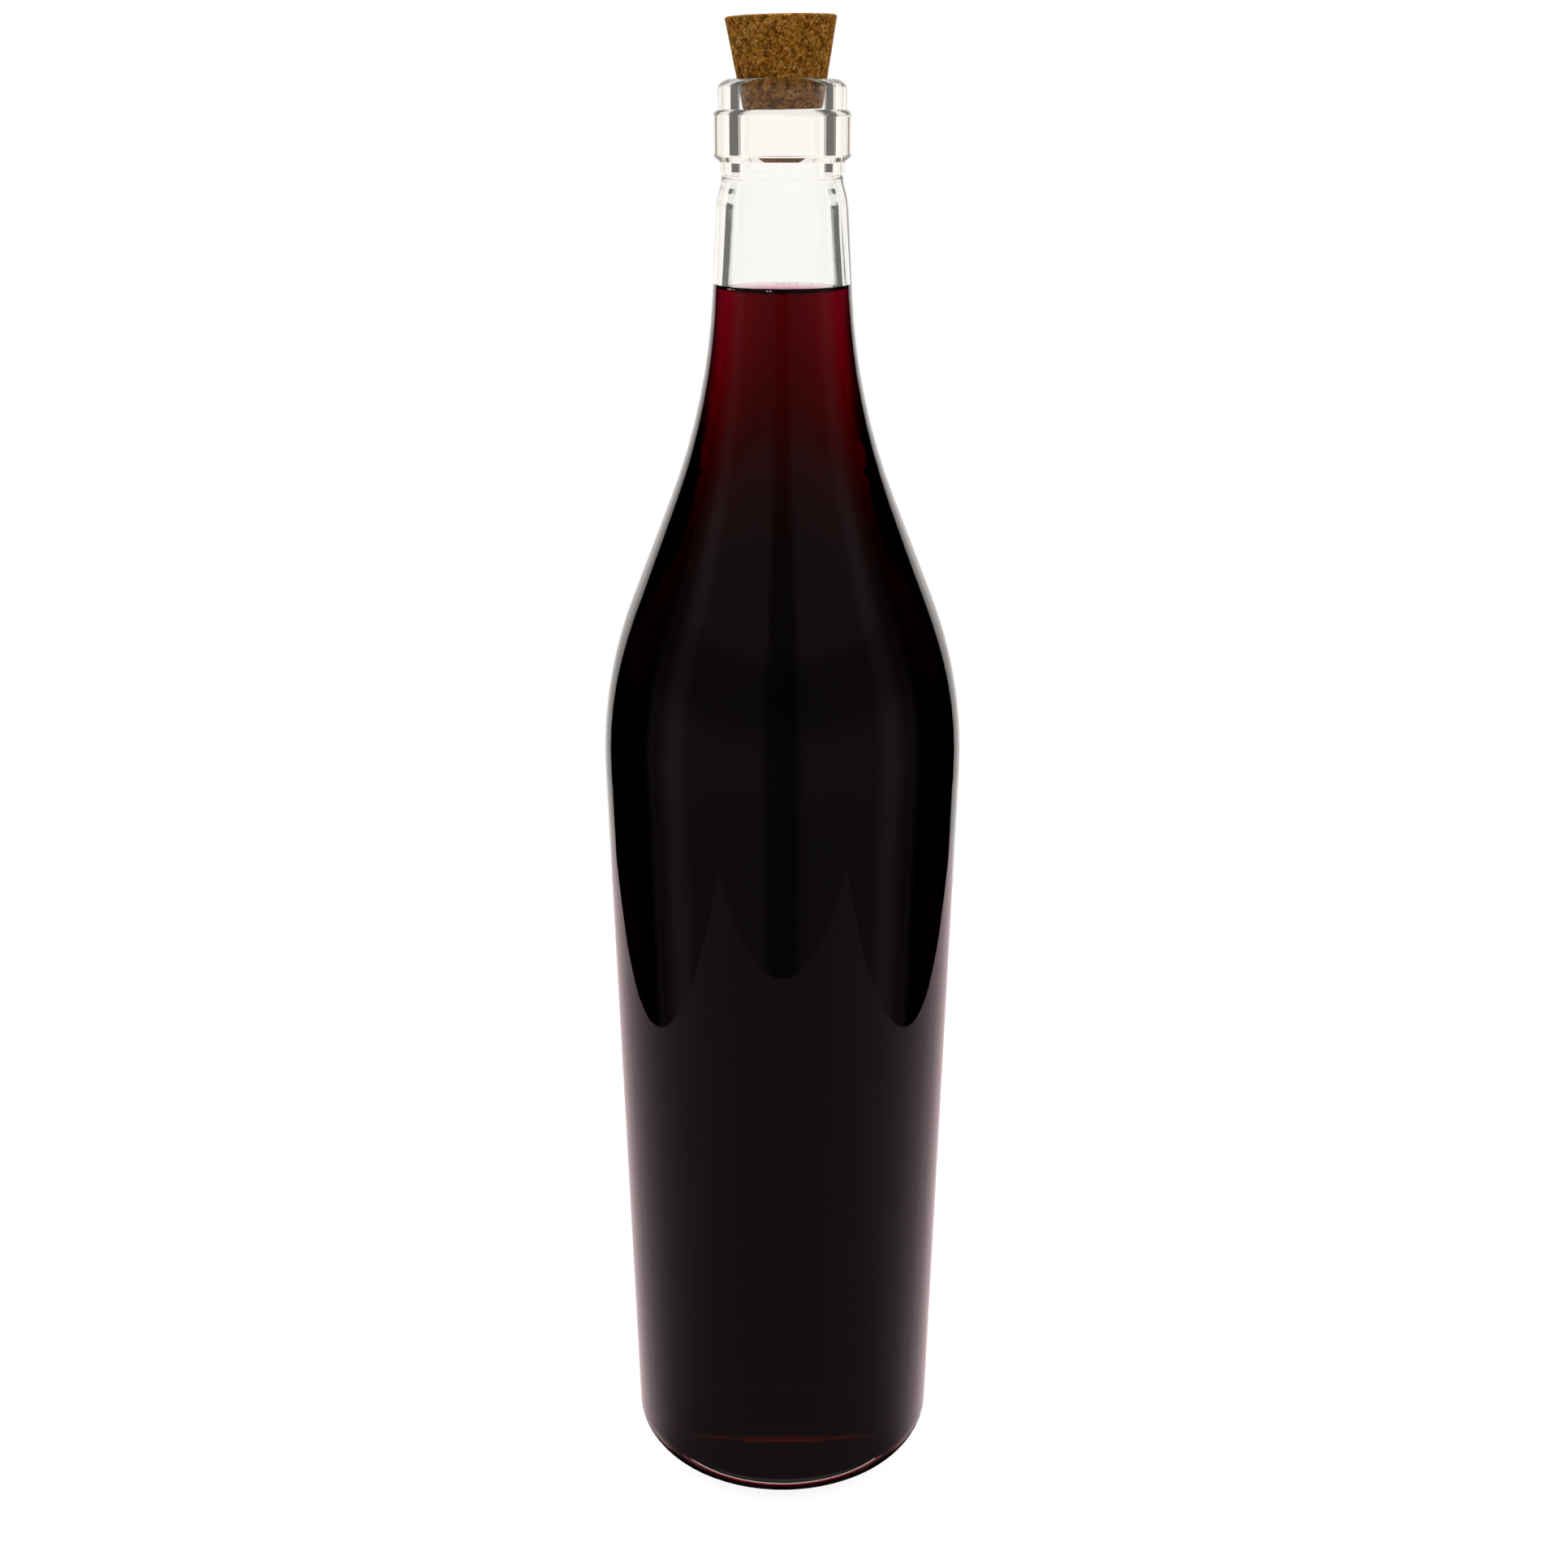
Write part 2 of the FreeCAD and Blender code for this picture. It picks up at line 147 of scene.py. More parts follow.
WINE_REACH = 0.00030  # into the wall
LEVEL_DROP = 0.0012  # from the wine's edge down to its level surface
MENISCUS_RISE = 0.0015  # above the level surface, as far out as the wine reaches
CAPILLARY_LENGTH = 0.0018  # it sets how far from the wall the surface bends
MENISCUS_STEPS = 26
MENISCUS_STEP = 0.82  # each step's height as a share of the last one's
WINE_SEGMENTS = 192
WINE_IOR = 1.34
WINE_TINT = "dd008d"
WINE_DENSITY = 424.5  # a metre of wine absorbs this much of what its tint lacks
SAME_PLACE = 1e-7  # corners nearer than this are one
SHARP = 0.6  # edges that bend more than this, in radians, stay creases
HAIR = 0.00001  # the surface's own height is found to within this
SIDEWAYS = 0.002  # a face is on the side if it is further out than this, along its normal


def meridian(node):
    """A turned solid's outline: its corners in the plane y = 0 on the +X side, in order."""
    mesh = bmesh.new()
    mesh.from_mesh(node.data)
    bmesh.ops.remove_doubles(mesh, verts=mesh.verts, dist=SAME_PLACE)
    on = {v for v in mesh.verts if abs(v.co.y) < SAME_PLACE and v.co.x > -SAME_PLACE}
    near = {v: [e.other_vert(v) for e in v.link_edges if e.other_vert(v) in on] for v in on}
    walk = [min((v for v in on if v.co.x < 10 * SAME_PLACE), key=lambda v: v.co.z)]
    while True:
        onward = [v for v in near[walk[-1]] if v not in walk]
        if not onward:
            break
        walk.append(onward[0])
    points = [Vector((max(v.co.x, 0.0), v.co.z)) for v in walk]
    mesh.free()
    return points


def moved_out(points, reach):
    """An outline moved out of its solid, at right angles to itself."""
    moved = []
    for at, point in enumerate(points):
        ahead = points[min(at + 1, len(points) - 1)] - points[max(at - 1, 0)]
        moved.append(point + Vector((ahead.y, -ahead.x)).normalized() * reach)
    moved[0].x = 0.0
    return moved


def meniscus(foot, slope):
    """A liquid's surface from the wall to the axis, by the height that it climbs at a flat wall."""
    def out(height):
        part = height / CAPILLARY_LENGTH
        return CAPILLARY_LENGTH * (math.acosh(2 / part) - math.sqrt(4 - part * part))

    points = []
    for step in range(MENISCUS_STEPS):
        height = MENISCUS_RISE * MENISCUS_STEP ** step
        away = out(height) - out(MENISCUS_RISE)
        points.append(Vector((foot.x - slope * MENISCUS_RISE - away, foot.y + height)))
    points.append(Vector((0.0, foot.y)))
    return points


def turned(name, outline, segments):
    """A closed solid turned about the axis from an outline that starts and ends on it."""
    mesh = bmesh.new()
    corners = [mesh.verts.new((p.x, 0.0, p.y)) for p in outline]
    edges = [mesh.edges.new(pair) for pair in zip(corners, corners[1:])]
    ring = dict(cent=(0, 0, 0), axis=(0, 0, 1), angle=math.tau, steps=segments)
    bmesh.ops.spin(mesh, geom=corners + edges, use_merge=True, **ring)
    bmesh.ops.remove_doubles(mesh, verts=mesh.verts, dist=SAME_PLACE)
    bmesh.ops.recalc_face_normals(mesh, faces=mesh.faces)
    for edge in mesh.edges:
        edge.smooth = edge.calc_face_angle(0.0) < SHARP
    made = bpy.data.meshes.new(name)
    mesh.to_mesh(made)
    mesh.free()
    for face in made.polygons:
        face.use_smooth = True
    piece = bpy.data.objects.new(name, made)
    bpy.context.collection.objects.link(piece)
    return piece


def red_wine(level):
    """Red wine: clear, and so dark that red only comes through where it is thin.

    Its free surface shines; where it wets the glass there is nothing for light to bounce off.
    """
    made, tree, out = material("still_red_wine")
    smooth = {"Color": linear(CLEAR), "Roughness": 0.0, "IOR": WINE_IOR}
    wet = add(tree, "ShaderNodeBsdfRefraction", smooth)
    free = add(tree, "ShaderNodeBsdfGlass", smooth)
    place = add(tree, "ShaderNodeTexCoord").outputs["Object"]
    height = add(tree, "ShaderNodeSeparateXYZ", {0: place}).outputs[2]
    outward = facing_out(tree, place, (0.0, 0.0, level))
    side = add(tree, MATH, {0: outward, 1: SIDEWAYS}, operation="GREATER_THAN")
    high = add(tree, MATH, {0: height, 1: level - HAIR}, operation="GREATER_THAN")
    top = add(tree, MATH, {0: high, 1: side}, operation="SUBTRACT")
    skin = add(tree, "ShaderNodeMixShader", {0: top, 1: wet, 2: free})
    tree.links.new(let_lamps_through(tree, skin).outputs[0], out.inputs["Surface"])
    tint = {"Color": linear(WINE_TINT), "Density": WINE_DENSITY}
    body = add(tree, "ShaderNodeVolumeAbsorption", tint)
    tree.links.new(body.outputs[0], out.inputs["Volume"])
    return made


wall = moved_out(meridian(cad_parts["wine"]), WINE_REACH)
brim, below = wall[-1], wall[-2]
neck_slope = (below.x - brim.x) / (brim.y - below.y)
level = WINE_EDGE - LEVEL_DROP
foot = Vector((brim.x + neck_slope * (brim.y - level), level))
wall = [point for point in wall if point.y < level - 10 * HAIR] + [foot]
surface = meniscus(foot, neck_slope)
wine = turned("red_wine", wall + surface, WINE_SEGMENTS)
dress(wine, red_wine(level))
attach(wine, "root")
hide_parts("wine")


# --- The bubbles ------------------------------------------------------------------------------
# Small bubbles that float on the wine against the glass, left over from filling the bottle. Each
# is a thin wet film round air.

# their places across and to the back, and their radii, in millimetres
BUBBLES = ((-1.1, 10.9, 0.26), (-0.4, 11.0, 0.30), (0.3, 10.9, 0.28), (1.0, 11.0, 0.24),
           (1.6, 10.8, 0.26), (-9.25, -6.05, 0.34), (-9.6, -5.4, 0.26), (-8.7, -6.8, 0.24),
           (-2.8, -10.7, 0.26), (-2.2, -10.8, 0.28), (6.6, 8.8, 0.22), (3.3, 10.5, 0.24))
BUBBLE_SUNK = 0.35  # of its radius
FILM_WHITE = 0.7  # the share of light that the film scatters
FILM_TINT = "fff9f8"


def bubble_film():
    """The wet film of a bubble: partly clear, and white with the light that it scatters."""
    made, tree, out = material("wine_bubble_film")
    clear = add(tree, "ShaderNodeBsdfTransparent", {"Color": linear(FILM_TINT)})
    white = add(tree, "ShaderNodeBsdfTranslucent", {"Color": linear(CLEAR)})
    skin = add(tree, "ShaderNodeMixShader", {0: FILM_WHITE, 1: clear, 2: white})
    tree.links.new(skin.outputs[0], out.inputs["Surface"])
    return made


def surface_height(away):
    """How far the wine's surface is above its level, by the distance from the axis."""
    for outer, inner in zip(surface, surface[1:]):
        if inner.x <= away <= outer.x:
            return inner.y - level + (outer.y - inner.y) * (away - inner.x) / (outer.x - inner.x)
    return 0.0


balls = bmesh.new()
for x, y, radius in BUBBLES:
    spot = Vector((x, y, 0.0)) / 1000
    size = radius / 1000
    spot.z = level + surface_height(spot.length) + size * (1 - BUBBLE_SUNK)
    ball = dict(u_segments=24, v_segments=16, radius=size, matrix=Matrix.Translation(spot))
    bmesh.ops.create_uvsphere(balls, **ball)
shape = bpy.data.meshes.new("wine_bubbles")
balls.to_mesh(shape)
balls.free()
for face in shape.polygons:
    face.use_smooth = True
bubbles = bpy.data.objects.new("wine_bubbles", shape)
bpy.context.collection.objects.link(bubbles)
dress(bubbles, bubble_film())
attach(bubbles, "root")
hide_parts("wine")


# --- The cork ---------------------------------------------------------------------------------
# A tapered stopper of cork granules pressed together with glue, cut smooth. The granules differ in
# tone, thin dark seams of bark run between them, and small holes are left where bark fell out.

CORK_LEAN = math.radians(1.3)
CORK_EDGE = 0.0003
CORK_RINGS = 110
CORK_SEGMENTS = 340
END_RINGS = (24, 30)  # across the foot and across the top
CHIP_SIZE = 0.0016
CRUMB_SIZE = 0.0007
RAGGED_SIZE = 0.001 / 1.7  # of the bumps along a chip's edge
RAGGED_REACH = 0.0011
SEAM_RUN = 0.001 / 1.1  # how long a seam goes on before it fades
CRACK_RUN = 0.001
PATCH_SIZE = 0.01 / 2.3  # of a place with many holes
HOLE_SIZE = 0.0005
SPECK_SIZE = 0.001 / 3.6
SEAM_DEPTH = 0.00010
HOLE_DEPTH = 0.00022
CHIP_STEP = 0.00003
CHIP_TONES = ((0.0, "764809"), (0.25, "865512"), (0.55, "94621e"), (0.85, "a2702f"), (1.0, "b6874a"))
BARK = "3d3414"
# the dark colour of the bark seams, also used as painted shade inside the holes
BARK_SEAMS_AND_HOLE_SHADE = "3a1800"


def cork_blank():
    """The stopper as a fine mesh of the construction's size, in its place."""
    upright = Matrix.Rotation(CORK_LEAN, 4, "Y")
    corners = [upright @ v.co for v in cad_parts["cork"].data.vertices]
    low, high = min(c.z for c in corners), max(c.z for c in corners)
    middle = (min(c.x for c in corners) + max(c.x for c in corners)) / 2
    foot = max(c.x for c in corners if c.z < low + 2 * CORK_EDGE) - middle
    top = max(c.x for c in corners) - middle
    run = high - low - 2 * CORK_EDGE
    at_foot, at_top = END_RINGS
    outline = [Vector((foot * at / at_foot, low)) for at in range(at_foot)]
    outline += [Vector((foot - CORK_EDGE, low))]
    for ring in range(CORK_RINGS + 1):
        share = ring / CORK_RINGS
        outline += [Vector((foot + (top - foot) * share, low + CORK_EDGE + run * share))]
    outline += [Vector((top - CORK_EDGE, high))]
    outline += [Vector((top * at / at_top, high)) for at in range(at_top - 1, -1, -1)]
    blank = turned("cork_blank", outline, CORK_SEGMENTS)
    blank.data.transform(upright.inverted() @ Matrix.Translation((middle, 0, 0)))
    return blank


def cork_grain(tree, place):
    """The pattern of pressed cork, for its colour and its relief alike.

    It gives each chip's tone, the seams between chips, the small holes and the flecks of bark.
    """
    # chips are ragged, so the place is shaken before it is cut into cells
    noise = "ShaderNodeTexNoise"
    vector = "ShaderNodeVectorMath"
    shake = add(tree, noise, {"Vector": place, "Scale": 1 / RAGGED_SIZE, "Detail": 3.0})
    spread = {0: shake.outputs["Color"], 1: (0.5, 0.5, 0.5)}
    spread = add(tree, vector, spread, operation="SUBTRACT")
    shift = add(tree, vector, {0: spread, "Scale": RAGGED_REACH}, operation="SCALE")
    shaken = add(tree, vector, {0: place, 1: shift}, operation="ADD")
    large = {"Vector": shaken, "Scale": 1 / CHIP_SIZE}
    chip = add(tree, "ShaderNodeTexVoronoi", large)
    chip_edge = add(tree, "ShaderNodeTexVoronoi", large, feature="DISTANCE_TO_EDGE")
    crumb = add(tree, "ShaderNodeTexVoronoi", {"Vector": shaken, "Scale": 1 / CRUMB_SIZE})
    # some chips are whole and others are a cluster of crumbs
    dice = add(tree, "ShaderNodeSeparateXYZ", {0: chip.outputs["Color"]})
    crumb_dice = add(tree, "ShaderNodeSeparateXYZ", {0: crumb.outputs["Color"]})
    cluster = add(tree, MATH, {0: dice.outputs[1], 1: 0.30}, operation="GREATER_THAN")
    whole = add(tree, MATH, {0: 1.0, 1: cluster}, operation="SUBTRACT")
    crumb_tone = add(tree, MATH, {0: cluster, 1: crumb_dice.outputs[0]}, operation="MULTIPLY")
    whole_tone = add(tree, MATH, {0: whole, 1: dice.outputs[0]}, operation="MULTIPLY")
    tone = add(tree, MATH, {0: whole_tone, 1: crumb_tone}, operation="ADD")
    # seams come and go along the chips' edges
    fade = add(tree, noise, {"Vector": place, "Scale": 1 / SEAM_RUN, "Detail": 2.0})
    width = {"Value": fade, 1: 0.42, 2: 0.64, 3: 0.0, 4: 0.12}
    width = add(tree, "ShaderNodeMapRange", width)
    chip_seam = {0: chip_edge.outputs["Distance"], 1: width}
    chip_seam = add(tree, MATH, chip_seam, operation="LESS_THAN")
    # and cracks run through them, mostly upright
    upright = add(tree, vector, {0: shaken, 1: (1.0, 1.0, 0.55)}, operation="MULTIPLY")
    vein = add(tree, noise, {"Vector": upright, "Scale": 1 / CRACK_RUN, "Detail": 2.0})
    off = add(tree, MATH, {0: vein, 1: 0.5}, operation="SUBTRACT")
    close = add(tree, MATH, {0: off}, operation="ABSOLUTE")
    crack_width = add(tree, MATH, {0: width, 1: 0.30}, operation="MULTIPLY")
    crack = add(tree, MATH, {0: close, 1: crack_width}, operation="LESS_THAN")
    seam = add(tree, MATH, {0: chip_seam, 1: crack}, operation="MAXIMUM")
    # holes lie in patches, where crumbs broke out
    patch = add(tree, noise, {"Vector": place, "Scale": 1 / PATCH_SIZE, "Detail": 1.0})
    fine = {"Vector": place, "Scale": 1 / HOLE_SIZE, "Detail": 2.0, "Roughness": 0.6}
    fine = add(tree, noise, fine)
    half = add(tree, MATH, {0: patch, 1: 0.5}, operation="MULTIPLY")
    deep = add(tree, MATH, {0: half, 1: fine}, operation="ADD")
    hole = add(tree, "ShaderNodeMapRange", {"Value": deep, 1: 0.86, 2: 0.95, 3: 0.0, 4: 1.0})
    bark = add(tree, MATH, {0: dice.outputs[2], 1: 0.96}, operation="GREATER_THAN")
    return tone, seam, hole, bark


def cork_finish():
    """Pressed cork: matt chips in browns, with dark seams, flecks of bark and holes darkened with
    painted shade between them.
    """
    made, tree, out = material("pressed_granule_cork")
    place = add(tree, "ShaderNodeTexCoord").outputs["Object"]
    tone, seam, hole, bark = cork_grain(tree, place)
    ramp = add(tree, "ShaderNodeValToRGB", {0: tone})
    stops = ramp.color_ramp.elements
    for stop, (position, code) in zip(stops, (CHIP_TONES[0], CHIP_TONES[-1])):
        stop.position = position
        stop.color = linear(code)
    for position, code in CHIP_TONES[1:-1]:
        stops.new(position).color = linear(code)
    # specks lighten and darken it, finer than its crumbs
    speck = {"Vector": place, "Scale": 1 / SPECK_SIZE, "Detail": 2.0}
    speck = add(tree, "ShaderNodeTexNoise", speck)
    dapple = {"Value": speck, 1: 0.3, 2: 0.7, 3: 0.68, 4: 1.3}
    dapple = add(tree, "ShaderNodeMapRange", dapple)
    dappled = {0: ramp, "Scale": dapple}
    dappled = add(tree, "ShaderNodeVectorMath", dappled, operation="SCALE")
    barky = add(tree, MATH, {0: bark, 1: 0.75}, operation="MULTIPLY")
    flecked = {0: barky, 6: dappled, 7: linear(BARK)}
    flecked = add(tree, "ShaderNodeMix", flecked, data_type="RGBA").outputs[2]
    # seams darken to the bark's own colour; holes darken too, as painted shade in their hollows over
    # the pressed relief
    seam = add(tree, MATH, {0: seam, 1: 0.74}, operation="MULTIPLY")
    hole = add(tree, MATH, {0: hole, 1: 0.7}, operation="MULTIPLY")
    dark = add(tree, MATH, {0: seam, 1: hole}, operation="MAXIMUM")
    colour = {0: dark, 6: flecked, 7: linear(BARK_SEAMS_AND_HOLE_SHADE)}
    colour = add(tree, "ShaderNodeMix", colour, data_type="RGBA").outputs[2]
    matt = {"Base Color": colour, "Roughness": 0.9, "IOR": 1.4, "Specular IOR Level": 0.15}
    skin = add(tree, "ShaderNodeBsdfPrincipled", matt)
    tree.links.new(skin.outputs[0], out.inputs["Surface"])
    return made


def cork_relief(finish):
    """Geometry Nodes that press the seams and holes into the blank, along its normals."""
    tree = bpy.data.node_groups.new("cork_relief", "GeometryNodeTree")
    face = tree.interface
    face.new_socket("Blank", in_out="INPUT", socket_type="NodeSocketGeometry")
    sizes = {}
    for name in ("Seam Depth", "Hole Depth", "Chip Step"):
        socket = face.new_socket(name, in_out="INPUT", socket_type="NodeSocketFloat")
        sizes[name] = socket.identifier
    face.new_socket("Cork", in_out="OUTPUT", socket_type="NodeSocketGeometry")
    given = add(tree, "NodeGroupInput").outputs
    tone, seam, hole, _ = cork_grain(tree, add(tree, "GeometryNodeInputPosition"))
    seam = add(tree, MATH, {0: seam, 1: given["Seam Depth"]}, operation="MULTIPLY")
    hole = add(tree, MATH, {0: hole, 1: given["Hole Depth"]}, operation="MULTIPLY")
    sunk = add(tree, MATH, {0: seam, 1: hole}, operation="MAXIMUM")
    dull = add(tree, MATH, {0: 1.0, 1: tone}, operation="SUBTRACT")
    low = add(tree, MATH, {0: dull, 1: given["Chip Step"]}, operation="MULTIPLY")
    depth = add(tree, MATH, {0: sunk, 1: low}, operation="ADD")
    inward = add(tree, MATH, {0: depth, 1: -1.0}, operation="MULTIPLY")
    offset = {0: add(tree, "GeometryNodeInputNormal"), "Scale": inward}
    offset = add(tree, "ShaderNodeVectorMath", offset, operation="SCALE")
    moved = {"Geometry": given["Blank"], "Offset": offset}
    moved = add(tree, "GeometryNodeSetPosition", moved)
    whole = add(tree, "GeometryNodeRealizeInstances", {"Geometry": moved})
    done = add(tree, "GeometryNodeSetMaterial", {"Geometry": whole, "Material": finish})
    add(tree, "NodeGroupOutput", {0: done})
    return tree, sizes


def plain_mesh(shape, name):
    """The object as its modifiers make it, as a plain mesh, in place of the object."""
    bpy.context.view_layer.update()
    seen = shape.evaluated_get(bpy.context.evaluated_depsgraph_get())
    mesh = bpy.data.meshes.new_from_object(seen)
    bpy.data.objects.remove(shape)
    mesh.name = name
    piece = bpy.data.objects.new(name, mesh)
    bpy.context.collection.objects.link(piece)
    return piece


blank = cork_blank()
press = blank.modifiers.new("relief", "NODES")
relief, sizes = cork_relief(cork_finish())
press.node_group = relief
depths = {"Seam Depth": SEAM_DEPTH, "Hole Depth": HOLE_DEPTH, "Chip Step": CHIP_STEP}
for size, value in depths.items():
    press[sizes[size]] = value
cork = plain_mesh(blank, "pressed_cork")
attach(cork, "root")
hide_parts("cork")


# --- The studio -------------------------------------------------------------------------------
# A white table and a white backdrop, with a dark screen at each corner and a dim front. The light
# is given, and not as a real room's: what the glass mirrors, what it lets through and what
# went through the wine each meet their own brightness.

CAMERA_PLACE = (0.00034, -0.4414, 0.3063)
CAMERA_DOWN = math.radians(17.75)
LENS = 47.65
SENSOR = 36.0

camera_data = bpy.data.cameras.new("camera")
camera_data.lens = LENS
camera_data.sensor_width = SENSOR
camera_data.clip_start = 0.01
camera = bpy.data.objects.new("camera", camera_data)
camera.location = CAMERA_PLACE
camera.rotation_euler = (math.pi / 2 - CAMERA_DOWN, 0.0, 0.0)
bpy.context.collection.objects.link(camera)
bpy.context.scene.camera = camera

RANGE = "ShaderNodeMapRange"
MIX = "ShaderNodeMix"
SMOOTH = {"interpolation_type": "SMOOTHSTEP"}
SCREEN_GLOW = 0.12  # of the dark screens
FILL_LIGHT = 0.6  # on matt surfaces, from all round
WINE_PASSES = 4.5  # light that crossed more surfaces than this went through the wine
CREAM = "fff9f6"
ROSY = "ffe3e8"


def flat_length(tree, x, y):
    """The length of (x, y)."""
    squares = [add(tree, MATH, {0: part, 1: part}, operation="MULTIPLY") for part in (x, y)]
    total = add(tree, MATH, {0: squares[0], 1: squares[1]}, operation="ADD")
    return add(tree, MATH, {0: total}, operation="SQRT")


def rosy_gloss(tree, path, rosy):
    """White, but in the gloss cream or, by the share given, rosy."""
    kinds = {0: path.outputs["Is Glossy Ray"], 1: path.outputs["Is Transmission Ray"]}
    gloss = add(tree, MATH, kinds, operation="SUBTRACT")
    tint = {0: rosy, 6: linear(CREAM), 7: linear(ROSY)}
    tint = add(tree, MIX, tint, data_type="RGBA").outputs[2]
    white = {0: gloss, 6: linear(CLEAR), 7: tint}
    return add(tree, MIX, white, data_type="RGBA").outputs[2]


def room_in_gloss(tree, back, side, z, faced):
    """What the glass mirrors: the backdrop, and in front two dim cloths with a dark gap."""
    # the backdrop is even above the table, dimmer towards its lower corners
    rise = add(tree, RANGE, {0: z, 1: -0.16, 2: -0.04, 3: 0.0, 4: 1.0}, **SMOOTH)
    even = add(tree, RANGE, {0: back, 1: 0.80, 2: 0.90, 3: 0.80, 4: 1.18}, **SMOOTH)
    low = add(tree, RANGE, {0: back, 1: 0.80, 2: 0.98, 3: 0.68, 4: 0.97}, **SMOOTH)
    glow = add(tree, MIX, {0: rise, 2: low, 3: even})
    # and it ends at an edge that leans a little
    edge = add(tree, RANGE, {0: z, 1: -0.24, 2: 0.0, 3: 0.83, 4: 0.784}, **SMOOTH)
    past = add(tree, MATH, {0: back, 1: edge}, operation="SUBTRACT")
    lit = add(tree, RANGE, {0: past, 1: -0.012, 2: 0.012, 3: 0.0, 4: 1.0}, **SMOOTH)
    backdrop = add(tree, MATH, {0: glow, 1: lit}, operation="MULTIPLY")
    # the cloths: across, then by height, then up to where they end at the sides
    front = add(tree, RANGE, {0: back, 1: -0.50, 2: -0.35, 3: 0.13, 4: 0.21}, **SMOOTH)
    flank = add(tree, RANGE, {0: back, 1: -0.28, 2: -0.04, 3: 1.0, 4: 0.32}, **SMOOTH)
    across = add(tree, MATH, {0: front, 1: flank}, operation="MULTIPLY")
    hung = add(tree, RANGE, {0: z, 1: -0.06, 2: 0.16, 3: 1.0, 4: 0.6}, **SMOOTH)
    rail = add(tree, RANGE, {0: z, 1: 0.30, 2: 0.42, 3: 0.0, 4: 0.45}, **SMOOTH)
    tall = add(tree, MATH, {0: hung, 1: rail}, operation="ADD")
    hem = add(tree, RANGE, {0: z, 1: -0.38, 2: -0.22, 3: 0.78, 4: 1.0}, **SMOOTH)
    tall = add(tree, MATH, {0: tall, 1: hem}, operation="MULTIPLY")
    wing = add(tree, MATH, {0: across, 1: tall}, operation="MULTIPLY")
    end = add(tree, RANGE, {0: back, 1: 0.0, 2: 0.16, 3: 1.0, 4: 0.0}, **SMOOTH)
    cloth = add(tree, MATH, {0: wing, 1: end}, operation="MULTIPLY")
    gap = add(tree, RANGE, {0: side, 1: 0.13, 2: 0.24, 3: 0.4, 4: 1.0}, **SMOOTH)
    shade = add(tree, MIX, {0: faced, 2: 1.0, 3: gap})
    shaded = add(tree, MATH, {0: cloth, 1: shade}, operation="MULTIPLY")
    return add(tree, MATH, {0: backdrop, 1: shaded}, operation="ADD")


def room_through_glass(tree, path, back, z, faced):
    """What the glass lets through: white behind and in front, with a dark screen at each corner."""
    flat = add(tree, MATH, {0: back}, operation="ABSOLUTE")
    dark = add(tree, RANGE, {0: z, 1: 0.03, 2: 0.09, 3: SCREEN_GLOW, 4: 0.9}, **SMOOTH)
    screen = add(tree, RANGE, {0: flat, 1: 0.775, 2: 0.80, 3: dark, 4: 1.09}, **SMOOTH)
    # light that went through the wine as well finds the sides and the ceiling dark
    crossed = {0: path.outputs["Transmission Depth"], 1: WINE_PASSES}
    deep = add(tree, MATH, crossed, operation="GREATER_THAN")
    shallow = add(tree, MATH, {0: 1.0, 1: deep}, operation="SUBTRACT")
    sides = add(tree, RANGE, {0: flat, 1: 0.30, 2: 0.37, 3: 0.95, 4: 0.0}, **SMOOTH)
    sides = add(tree, MATH, {0: sides, 1: shallow}, operation="MULTIPLY")
    straight = add(tree, MATH, {0: screen, 1: sides}, operation="MAXIMUM")
    ceiling = add(tree, MIX, {0: deep, 2: 1.0, 3: 0.08})
    # what has bounced inside the glass is dim towards the front, and in the wine all round
    turned_back = add(tree, MATH, {0: path.outputs["Glossy Depth"], 1: 1.0}, operation="MINIMUM")
    bounced = add(tree, MATH, {0: turned_back, 1: faced}, operation="MULTIPLY")
    inside = add(tree, MIX, {0: deep, 2: 0.60, 3: 0.03})
    level = add(tree, MIX, {0: bounced, 2: straight, 3: inside})
    in_wine = add(tree, MATH, {0: turned_back, 1: deep}, operation="MULTIPLY")
    kept = add(tree, MIX, {0: in_wine, 2: 1.0, 3: 0.25})
    # by height: the table's far side, then the room, then its ceiling
    above = add(tree, RANGE, {0: z, 1: 0.20, 2: 0.45, 3: 0.0, 4: 1.0}, **SMOOTH)
    upper = add(tree, MIX, {0: above, 2: level, 3: ceiling})
    lower = add(tree, RANGE, {0: back, 1: 0.74, 2: 0.93, 3: 0.12, 4: 1.0}, **SMOOTH)
    horizon = add(tree, RANGE, {0: z, 1: -0.15, 2: -0.08, 3: 0.0, 4: 1.0}, **SMOOTH)
    clear = add(tree, MIX, {0: horizon, 2: lower, 3: upper})
    return add(tree, MATH, {0: clear, 1: kept}, operation="MULTIPLY")


